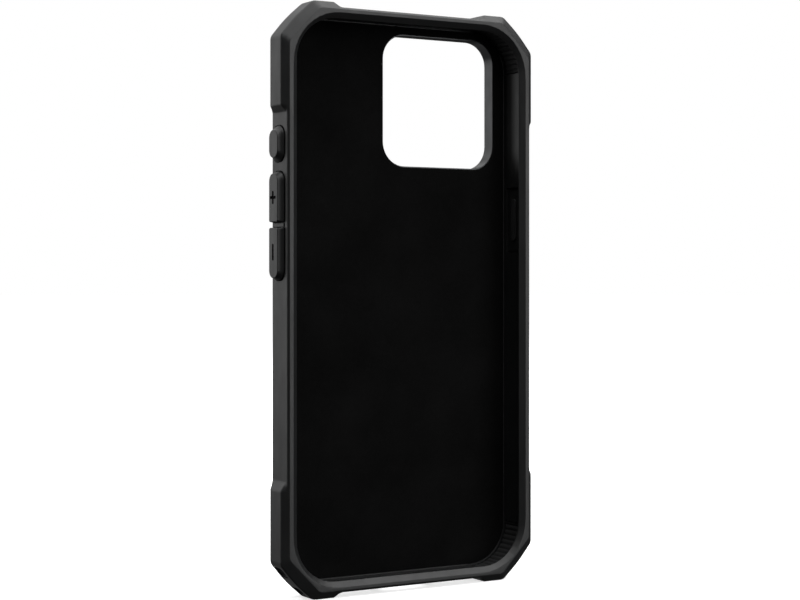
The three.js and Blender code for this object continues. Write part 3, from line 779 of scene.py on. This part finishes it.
def reach_to(origin, direction, outline):
    """Distance along a ray to where it last crosses a closed outline."""
    ox, oy, dx, dy = *origin, *direction
    farthest = 0.0
    ax, ay = outline[-1]
    side_a = (ay - oy) * dx - (ax - ox) * dy
    for bx, by in outline:
        side_b = (by - oy) * dx - (bx - ox) * dy
        if (side_a > 0) != (side_b > 0):
            share = side_a / (side_a - side_b)
            x, y = ax + (bx - ax) * share, ay + (by - ay) * share
            farthest = max(farthest, (x - ox) * dx + (y - oy) * dy)
        ax, ay, side_a = bx, by, side_b
    return farthest


def eased(section, eases, steps=RIM_STEPS):
    """A closed section with each corner rounded over the length it is given."""
    points = []
    for i, (corner, ease) in enumerate(zip(section, eases)):
        ends = []
        for neighbour in (section[i - 1], section[(i + 1) % len(section)]):
            way = neighbour - corner
            ends.append(corner + way * min(ease / max(way.length, 1e-6), MOST_EASE))
        for s in range(steps + 1):
            t = s / steps
            points.append(ends[0] * (1 - t) ** 2 + corner * (2 * t * (1 - t)) + ends[1] * t ** 2)
    return points


# Corners of the wall's section, round it from the back: (outline, depth, rounding).
WALL_SECTION = [
    (cut_rect(SHELL_NARROW, GAP), FRAME_BACK, 0.2),
    (frame_outline(FRAME_BACK), FRAME_BACK, 0.6),
    (frame_outline(END_LEAN), END_LEAN, 0.8),
    (frame_outline(SIDE_LEAN), SIDE_LEAN, 0.6),
    (frame_outline(BUMPER_LEAN), BUMPER_LEAN, 0.8),
    (frame_outline(BUMPER_SLOPE_END), BUMPER_SLOPE_END, 0.35),
    (frame_outline(SIDE_SLOPE_END), SIDE_SLOPE_END, 0.2),
    (frame_outline(0), 0, 0.14),
    (rounded_rect(LIP_TOP), 0, 0.1),
    (rounded_rect(LIP_FOOT), LIP_FOOT_DEPTH, 0.12),
    (rounded_rect(LIP_FOOT), LIP_BACK_DEPTH, 0.08),
    (rounded_rect(BAY), LIP_BACK_DEPTH, 0.12),
    (rounded_rect(BAY), BAY_FLOOR, 0.2),
    (cut_rect(SHELL_WIDE, GAP), BAY_FLOOR, 0.12),
    (cut_rect(SHELL_WIDE, GAP), SHELL_STEP, 0.1),
    (cut_rect(SHELL_NARROW, GAP), SHELL_STEP, 0.1),
]


def wall_blank():
    """The frame's wall swept round the case, before its openings are cut."""
    outlines = [[tuple(p) for p in trace(corners)] for corners, _, _ in WALL_SECTION]
    eases = [ease for _, _, ease in WALL_SECTION]
    rows = []
    for origin, direction in frame_rays():
        section = []
        for outline, (_, depth, _) in zip(outlines, WALL_SECTION):
            section.append(Vector((reach_to(origin, direction, outline), depth)))
        row = []
        for distance, depth in eased(section, eases):
            point = origin + direction * distance
            row.append(place(point.x, depth, point.y))
        rows.append(row)
    return skin("case_frame", rows, closed=True)


def key_cutters():
    """Moats round the keys, and the ways through the wall for stems and flanges."""
    cutters = []
    for key in KEYS:
        side, base = key["side"], height_span(f"{key['name']}_key")
        radii = [radius + MOAT_GAP for radius in end_radii(key, ROUND_SKIRT)]
        moat = key_outline(MOAT_DEPTHS, widened(base, MOAT_GAP), radii)
        levels = sorted((side * MOAT_LEVEL, side * (KEY_FACE + PAST)))
        cutters.append(cutter(moat, levels, [(side * SIDE_X, side)], MOAT_FLARE, "x"))
        for depths, by, level in (
            (KEY_STEM_DEPTHS, KEY_STEM_INSET, STEM_WAY_LEVEL),
            (KEY_FLANGE_DEPTHS, KEY_FLANGE_INSET, WEB_LEVEL),
        ):
            outline = rectangle(widened(depths, GAP), widened(base, GAP - by), WAY_RADIUS)
            levels = sorted((side * (BAY[0] - SHORT_PAST), side * level))
            cutters.append(cutter(outline, levels, axis="x"))
    return cutters


def bridge_cutter():
    """Groove that runs on in front of the bridge between the two volume keys."""
    bridge = (height_span("volume_down_key")[1], height_span("volume_up_key")[0])
    depths = (MOAT_DEPTHS[0] + BRIDGE_GROOVE_STEP, KEY_CAP_DEPTHS[0])
    groove = rectangle(depths, widened(bridge, 2 * SQUARE))
    levels = (-KEY_FACE - PAST, -MOAT_LEVEL)
    return cutter(groove, levels, [(-SIDE_X, -1)], MOAT_FLARE, "x")


def bottom_cutters():
    """Charging port and the slots beside it, each with a softened outer mouth."""
    wall = (-HALF_HEIGHT - PAST, -BAY[1] + SHORT_PAST)
    mouth = [(-SIDE_Z, -1)]
    port = rectangle((-PORT_HALF_WIDTH, PORT_HALF_WIDTH), PORT_DEPTHS, PORT_RADIUS)
    cutters = [cutter(port, wall, mouth, PORT_FLARE, "z")]
    for i in range(GRILLE_COUNT):
        for side in (-1, 1):
            x = side * (GRILLE_FIRST + i * GRILLE_PITCH)
            across = widened((x, x), GRILLE_WIDTH / 2)
            slot = rectangle(across, GRILLE_DEPTHS, GRILLE_RADIUS)
            cutters.append(cutter(slot, wall, mouth, GRILLE_FLARE, "z"))
    return cutters


def cord_cutters():
    """The two cord slots, square to the lower left corner face."""
    cutters = []
    to_corner = Matrix.Translation(place(CORNER_FACE[0], 0, CORNER_FACE[1]))
    turned = to_corner @ Matrix.Rotation(math.pi / 4, 4, "Y") @ Matrix.Translation(-place(0, 0, 0))
    for along in CORD_SLOTS_ALONG:
        across = widened((along, along), CORD_SLOT_WIDTH / 2)
        outline = rectangle(across, CORD_SLOT_DEPTHS, CORD_SLOT_RADIUS)
        slot = cutter(outline, CORD_SLOT_REACH, [(0, -1)], CORD_SLOT_FLARE, "z")
        slot.data.transform(turned)
        cutters.append(slot)
    return cutters


def cushion_pockets():
    """Pockets in the bay's corners, a gap larger than their cushions."""
    grow = CUSHION_THICKNESS + GAP
    near_x, near_z = BAY[0] - BAY[2] - GAP, BAY[1] - BAY[2] - GAP
    far_x, far_z = BAY[0] + grow, BAY[1] + grow
    radius = BAY[2] + grow - POCKET_RADIUS_LESS
    corners = [
        (near_x, near_z, 0), (far_x, near_z, 0), (far_x, far_z, radius), (near_x, far_z, 0),
    ]
    pockets = []
    for sx, sz in QUARTERS:
        turned = [(sx * a, sz * b, rounding) for a, b, rounding in corners]
        outline = turned if sx * sz > 0 else turned[::-1]
        pockets.append(cutter(outline, widened(CUSHION_DEPTHS, GAP)))
    return pockets


def bumper_frame():
    """The frame with its openings, keyways, cord slots and pockets cut into it."""
    seat = cutter(camera_square(BEZEL_FLANGE, GAP), (BAY_FLOOR - SHORT_PAST / 2, BEZEL_FLANGE_BACK))
    opening = cutter(camera_square(BEZEL, GAP), (BAY_FLOOR, FRAME_BACK + PAST), [(FRAME_BACK, 1)])
    cutters = [seat, opening, bridge_cutter(), *bottom_cutters(), *cord_cutters()]
    cutters += [*cushion_pockets(), *key_cutters()]
    wall = combine(wall_blank(), cutters)
    dress(smooth(wall), "bumper_frame", "frame_tpu")


# ------------------------------------------------------------------ inner pieces


def box_section(radii, depths):
    """Four corners of a ring's section as (radius, depth)."""
    (inner, outer), (front, back) = radii, depths
    return [Vector(p) for p in ((inner, front), (outer, front), (outer, back), (inner, back))]


def cushion(name):
    """Quarter-ring cushion with shallow ribs on the side that meets the phone."""
    low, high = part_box(name)
    sx = math.copysign(1, low.x + high.x)
    sz = math.copysign(1, low.z + high.z - 2 * MIDDLE_Z)
    centre_x, centre_z = BAY[0] - BAY[2], BAY[1] - BAY[2]
    first, last = (math.radians(degrees) for degrees in CUSHION_TURN)
    count = CUSHION_RIBS * RIB_STEPS
    outer = BAY[2] + CUSHION_THICKNESS - CUSHION_PLAY
    rows = []
    for s in range(count + 1):
        angle = first + (last - first) * s / count
        hollow = 0.5 - 0.5 * math.cos(2 * math.pi * CUSHION_RIBS * s / count)
        inner = BAY[2] + CUSHION_PLAY + RIB_HEIGHT * hollow ** 2
        row = []
        for r, depth in eased(box_section((inner, outer), CUSHION_DEPTHS), CUSHION_EASES):
            x, z = centre_x + r * math.cos(angle), centre_z + r * math.sin(angle)
            row.append(place(sx * x, depth, sz * z))
        rows.append(row)
    body = skin(f"{name}_ribbed", rows)
    if sx < 0 and sz < 0:
        combine(body, cord_cutters())
    dress(smooth(body), name, "cushion_rubber")


def liner():
    """Lining sheet laid on the floor of the bay, with its camera window cut out."""
    span = (LINER_FACE, BAY_FLOOR)
    body = soft_prism("liner_sheet", rounded_rect(LINER), span, eases=(0.14, 0.05))
    combine(body, [cutter(camera_square(WINDOW, GAP), widened(span, SHORT_PAST))])
    dress(smooth(body), "liner", "liner_microfibre")


def ring_solid(name, radii, span, ease=0.02, steps=96):
    """Flat ring about the middle of the magnet ring."""
    points = eased(box_section(radii, span), [ease] * 4, 2)
    rows = []
    for s in range(steps):
        angle = 2 * math.pi * s / steps
        x, z = math.cos(angle), math.sin(angle)
        rows.append([place(r * x, depth, RING_HEIGHT + r * z) for r, depth in points])
    return skin(name, rows, closed=True)


# ------------------------------------------------------------------ back pieces


def panel_blank(name, grow, back, ease):
    """Cut-cornered panel with the camera's corner left out."""
    plate = soft_prism(name, cut_rect(PANEL, grow), (PANEL_FRONT, back), eases=(0.05, ease))
    past = widened((PANEL_FRONT, back), SHORT_PAST)
    around = cutter(camera_square(BEZEL, PANEL_CAMERA_MARGIN - grow), past)
    corner = cutter(rectangle((CAMERA_X, HALF_HEIGHT), (CAMERA_Z, HALF_HEIGHT)), past)
    return combine(plate, [around, corner])


def back_shell():
    """Stiff shell in two steps, hollowed for the magnets, the panel and the camera."""
    wide_span, narrow_span = (BAY_FLOOR, SHELL_STEP), (SHELL_STEP - SHELL_OVERLAP, FRAME_BACK)
    body = soft_prism("back_shell_body", cut_rect(SHELL_WIDE), wide_span, eases=(0.1, 0.1))
    narrow = soft_prism("narrow", cut_rect(SHELL_NARROW), narrow_span, eases=(0.05, 0.22))
    combine(body, [narrow], "UNION")
    half_width = ALIGNMENT_HALF_WIDTH + GAP
    across, along = (-half_width, half_width), widened(ALIGNMENT_SPAN, GAP)
    alignment = rectangle(across, along, ALIGNMENT_RADIUS)
    inside, outside = BAY_FLOOR - SHORT_PAST, FRAME_BACK + SHORT_PAST
    combine(body, [
        cutter(camera_square(BEZEL_FLANGE, GAP), (inside, BEZEL_FLANGE_BACK)),
        cutter(camera_square(BEZEL, GAP), (BAY_FLOOR, outside), [(FRAME_BACK, 1)]),
        ring_solid("cutter", widened(CARRIER, GAP), (inside, SHUNT_BACK)),
        cutter(alignment, (inside, MAGNET_BACK)),
        panel_blank("cutter", GAP, outside, 0.05),
    ])
    dress(smooth(soften(body, FINE_BEVEL)), "back_shell", "shell_polycarbonate")


def back_panel():
    """Textured panel let into the shell, grooved for the ring mark."""
    body = panel_blank("back_panel_plate", 0, FRAME_BACK, 0.15)
    groove = (RING_MARK_FRONT, FRAME_BACK + SHORT_PAST)
    combine(body, [ring_solid("cutter", widened(RING_MARK, GAP), groove)])
    dress(smooth(soften(body, FINE_BEVEL)), "back_panel", "panel_textured")


def ring_mark():
    """Band that shows where the magnets are, let into the panel."""
    span = (RING_MARK_FRONT, FRAME_BACK)
    body = ring_solid("ring_mark_band", RING_MARK, span, ease=0.1, steps=160)
    dress(smooth(body), "ring_mark", "ring_mark")


def camera_bezel():
    """Bezel wall with a rounded outer chamfer, standing on its flange."""
    chamfer = CASE_DEPTH - BEZEL_CHAMFER
    rim = [
        (BAY_FLOOR, 0),
        (chamfer - 0.1, 0),
        (chamfer + 0.05, 0.05),
        (CASE_DEPTH - 0.2, BEZEL_CHAMFER - 0.25),
        (CASE_DEPTH - 0.06, BEZEL_CHAMFER - 0.08),
        (CASE_DEPTH, BEZEL_CHAMFER + 0.1),
    ]
    sections = [(level, inset(camera_square(BEZEL), by)) for level, by in rim]
    body = loft("camera_bezel_ring", sections)
    span = (BAY_FLOOR, BEZEL_FLANGE_BACK)
    flange = soft_prism("flange", camera_square(BEZEL_FLANGE), span, eases=(0.06, 0.1))
    combine(body, [flange], "UNION")
    past = widened((BAY_FLOOR, CASE_DEPTH), SHORT_PAST)
    combine(body, [cutter(camera_square(WINDOW), past, [(CASE_DEPTH, 1)], WINDOW_FLARE)])
    dress(smooth(soften(body, BEZEL_BEVEL)), "camera_bezel", "bezel_anodised")


# ------------------------------------------------------------------ keys


def key_cap(key, base):
    """Visible cap: straight skirt, sloping flanks and a rounded edge to a flat face."""
    side = key["side"]
    face_span = base[0] + key["set_in"][0], base[1] - key["set_in"][1]
    skirt = key_outline(KEY_CAP_DEPTHS, base, end_radii(key, ROUND_SKIRT))
    face = key_outline(KEY_FACE_DEPTHS, face_span, end_radii(key, ROUND_FACE))
    rise = KEY_FACE - FACE_EDGE[0][0] - SIDE_X
    sections = [(KEY_SKIRT, skirt), (SIDE_X - SKIRT_EDGE, skirt)]
    for step in range(FLANK_STEPS):
        height = (step + FLANK_START) / FLANK_STEPS
        front = height + FLANK_HOLLOW * height * (1 - height)
        depths = blend(KEY_CAP_DEPTHS, KEY_FACE_DEPTHS, front)
        radii = blend(end_radii(key, ROUND_SKIRT), end_radii(key, ROUND_FACE), height)
        outline = key_outline(depths, blend(base, face_span, height), radii)
        sections.append((SIDE_X + rise * height, outline))
    sections += [(KEY_FACE - level, inset(face, by)) for level, by in FACE_EDGE]
    return loft(f"{key['name']}_cap", [(side * level, outline) for level, outline in sections], "x")


def glyph_cutters(key):
    """Round-ended bars that engrave the key's sign."""
    side = key["side"]
    levels = sorted((side * (KEY_FACE - GLYPH_DEPTH), side * (KEY_FACE + SHORT_PAST)))
    bars = []
    for z, depth, along, across in key["glyph"]:
        depths, heights = widened((depth, depth), across / 2), widened((z, z), along / 2)
        outline = rectangle(depths, heights, min(along, across) * GLYPH_ROUNDING)
        bars.append(cutter(outline, levels, [(side * KEY_FACE, side)], GLYPH_FLARE, "x"))
    return bars


def key_body(key):
    """A key: its cap with its engraved sign filled with near-black painted shade, and the stem and
    flange that hold it.
    """
    side, base = key["side"], height_span(f"{key['name']}_key")
    body = key_cap(key, base)
    stem_levels = sorted(side * level for level in KEY_STEM_LEVELS)
    flange_levels = sorted(side * level for level in KEY_FLANGE_LEVELS)
    stem = rectangle(KEY_STEM_DEPTHS, widened(base, -KEY_STEM_INSET), KEY_STEM_RADIUS)
    flange = rectangle(KEY_FLANGE_DEPTHS, widened(base, -KEY_FLANGE_INSET), KEY_FLANGE_RADIUS)
    combine(body, [
        soft_prism("stem", stem, stem_levels, (0.05, 0.05), "x"),
        soft_prism("flange", flange, flange_levels, (0.08, 0.08), "x"),
    ], "UNION")
    if key["glyph"]:
        combine(body, glyph_cutters(key))
    dress(smooth(body), f"{key['name']}_key", "key_tpu")
    # The engraved sign gets a near-black painted shade.
    body.data.materials.append(MATERIALS["glyph_painted_shade"])
    paint_glyph_shade(key, body.data)


def paint_glyph_shade(key, mesh):
    """Paint shade into the engraved sign: the faces inside its bars, below the key's face, take the
    near-black painted shade.
    """
    for polygon in mesh.polygons:
        x, y, z = (polygon.center - place(0, 0, 0)) / MM
        sunk = GLYPH_DEPTH + GLYPH_REACH > KEY_FACE - x * key["side"] > GLYPH_RIM
        for middle, depth, along, across in key["glyph"]:
            in_length = abs(z - middle) <= along / 2 + GLYPH_REACH
            in_width = abs(y - depth) <= across / 2 + GLYPH_REACH
            if sunk and in_length and in_width:
                polygon.material_index = 1


def key_pad(key):
    """Soft pad on the inner end, which meets the phone's own button."""
    node = f"{key['name']}_pad"
    levels = sorted(key["side"] * level for level in PAD_LEVELS)
    outline = rectangle(PAD_DEPTHS, height_span(node), PAD_RADIUS)
    body = soft_prism(f"{node}_tip", outline, levels, (0.12, 0.12), "x")
    dress(smooth(body), node, "cushion_rubber")


# ------------------------------------------------------------------ kept CAD pieces


def dress_cad(node, slot):
    """Give a kept CAD node its material and fine edges, leaving its mesh alone."""
    obj = frame["nodes"][node]
    obj.data.materials.clear()
    obj.data.materials.append(MATERIALS[slot])
    weld = obj.modifiers.new("weld", "WELD")
    weld.merge_threshold = 1e-6
    soften(obj, MAGNET_BEVEL)


def magnet_parts():
    """The carrier, the shunt ring and every magnet."""
    dress_cad("magnet_carrier", "carrier_plastic")
    dress_cad("shunt_ring", "shunt_steel")
    dress_cad("alignment_magnet", "magnet_nickel")
    for node in frame["nodes"]:
        if node.startswith("magnet_") and node != "magnet_carrier":
            dress_cad(node, "magnet_nickel")


# ------------------------------------------------------------------ stage


def floor():
    """Wide pale floor that the case stands on."""
    bpy.ops.mesh.primitive_circle_add(vertices=96, radius=FLOOR_RADIUS, fill_type="NGON")
    obj = bpy.context.object
    obj.name = "floor"
    obj.location.z = CAD_LOW.z
    s = Shader("pale_floor")
    s.colour(mottled(s, s.noise(3), 0.86, 0.01))
    s.roughness(s.spread(s.noise(30), 0.8, 0.9))
    reach = s.add("ShaderNodeVectorMath", {0: s.place})
    reach.operation = "LENGTH"
    s.fix(Emission_Color=(1, 1, 1, 1))
    glow = s.spread(reach.outputs["Value"], *FLOOR_GLOW, *FLOOR_GLOW_REACH)
    s.put(s.shader, "Emission Strength", glow)
    obj.data.materials.append(s.material)
    obj.visible_diffuse = False
    obj.visible_glossy = False
    obj.visible_shadow = False


def softbox(name, location, size, radiance):
    """Area light aimed at the middle of the case, with an even face of this radiance."""
    light = bpy.data.lights.new(name, "AREA")
    light.shape = "RECTANGLE"
    light.size, light.size_y = size
    light.energy = radiance * math.pi * size[0] * size[1]
    obj = bpy.data.objects.new(name, light)
    bpy.context.scene.collection.objects.link(obj)
    obj.location = location
    obj.rotation_mode = "QUATERNION"
    obj.rotation_quaternion = (place(0, CASE_DEPTH / 2, 0) - obj.location).to_track_quat("-Z", "Y")


def world():
    """White behind everything for the camera, and dim for the light on the case."""
    made = bpy.data.worlds.new("studio")
    bpy.context.scene.world = made
    made.use_nodes = True
    tree = made.node_tree
    background = tree.nodes["Background"]
    path = tree.nodes.new("ShaderNodeLightPath")
    strength = tree.nodes.new("ShaderNodeMapRange")
    strength.inputs["To Min"].default_value = WORLD_ON_CASE
    strength.inputs["To Max"].default_value = WORLD_SEEN
    tree.links.new(path.outputs["Is Camera Ray"], strength.inputs["Value"])
    tree.links.new(strength.outputs["Result"], background.inputs["Strength"])
    background.inputs["Color"].default_value = (1, 1, 1, 1)


def camera():
    """The photograph's viewpoint, level, with the frame shifted on to the case."""
    data = bpy.data.cameras.new("camera")
    data.lens = CAMERA_LENS
    data.sensor_width = CAMERA_SENSOR
    data.shift_x, data.shift_y = CAMERA_SHIFT
    data.clip_start = CAMERA_NEAR
    obj = bpy.data.objects.new("camera", data)
    bpy.context.scene.collection.objects.link(obj)
    obj.location = CAMERA_PLACE
    obj.rotation_mode = "QUATERNION"
    obj.rotation_quaternion = Vector(CAMERA_AIM).to_track_quat("-Z", "Y")
    bpy.context.scene.camera = obj


camera()
world()
for light in SOFTBOXES:
    softbox(*light)
floor()
bumper_frame()
for corner in ("upper_left", "upper_right", "lower_left", "lower_right"):
    cushion(f"cushion_{corner}")
back_shell()
camera_bezel()
liner()
back_panel()
ring_mark()
magnet_parts()
for key in KEYS:
    key_body(key)
    key_pad(key)

bpy.context.scene.view_settings.view_transform = "Standard"
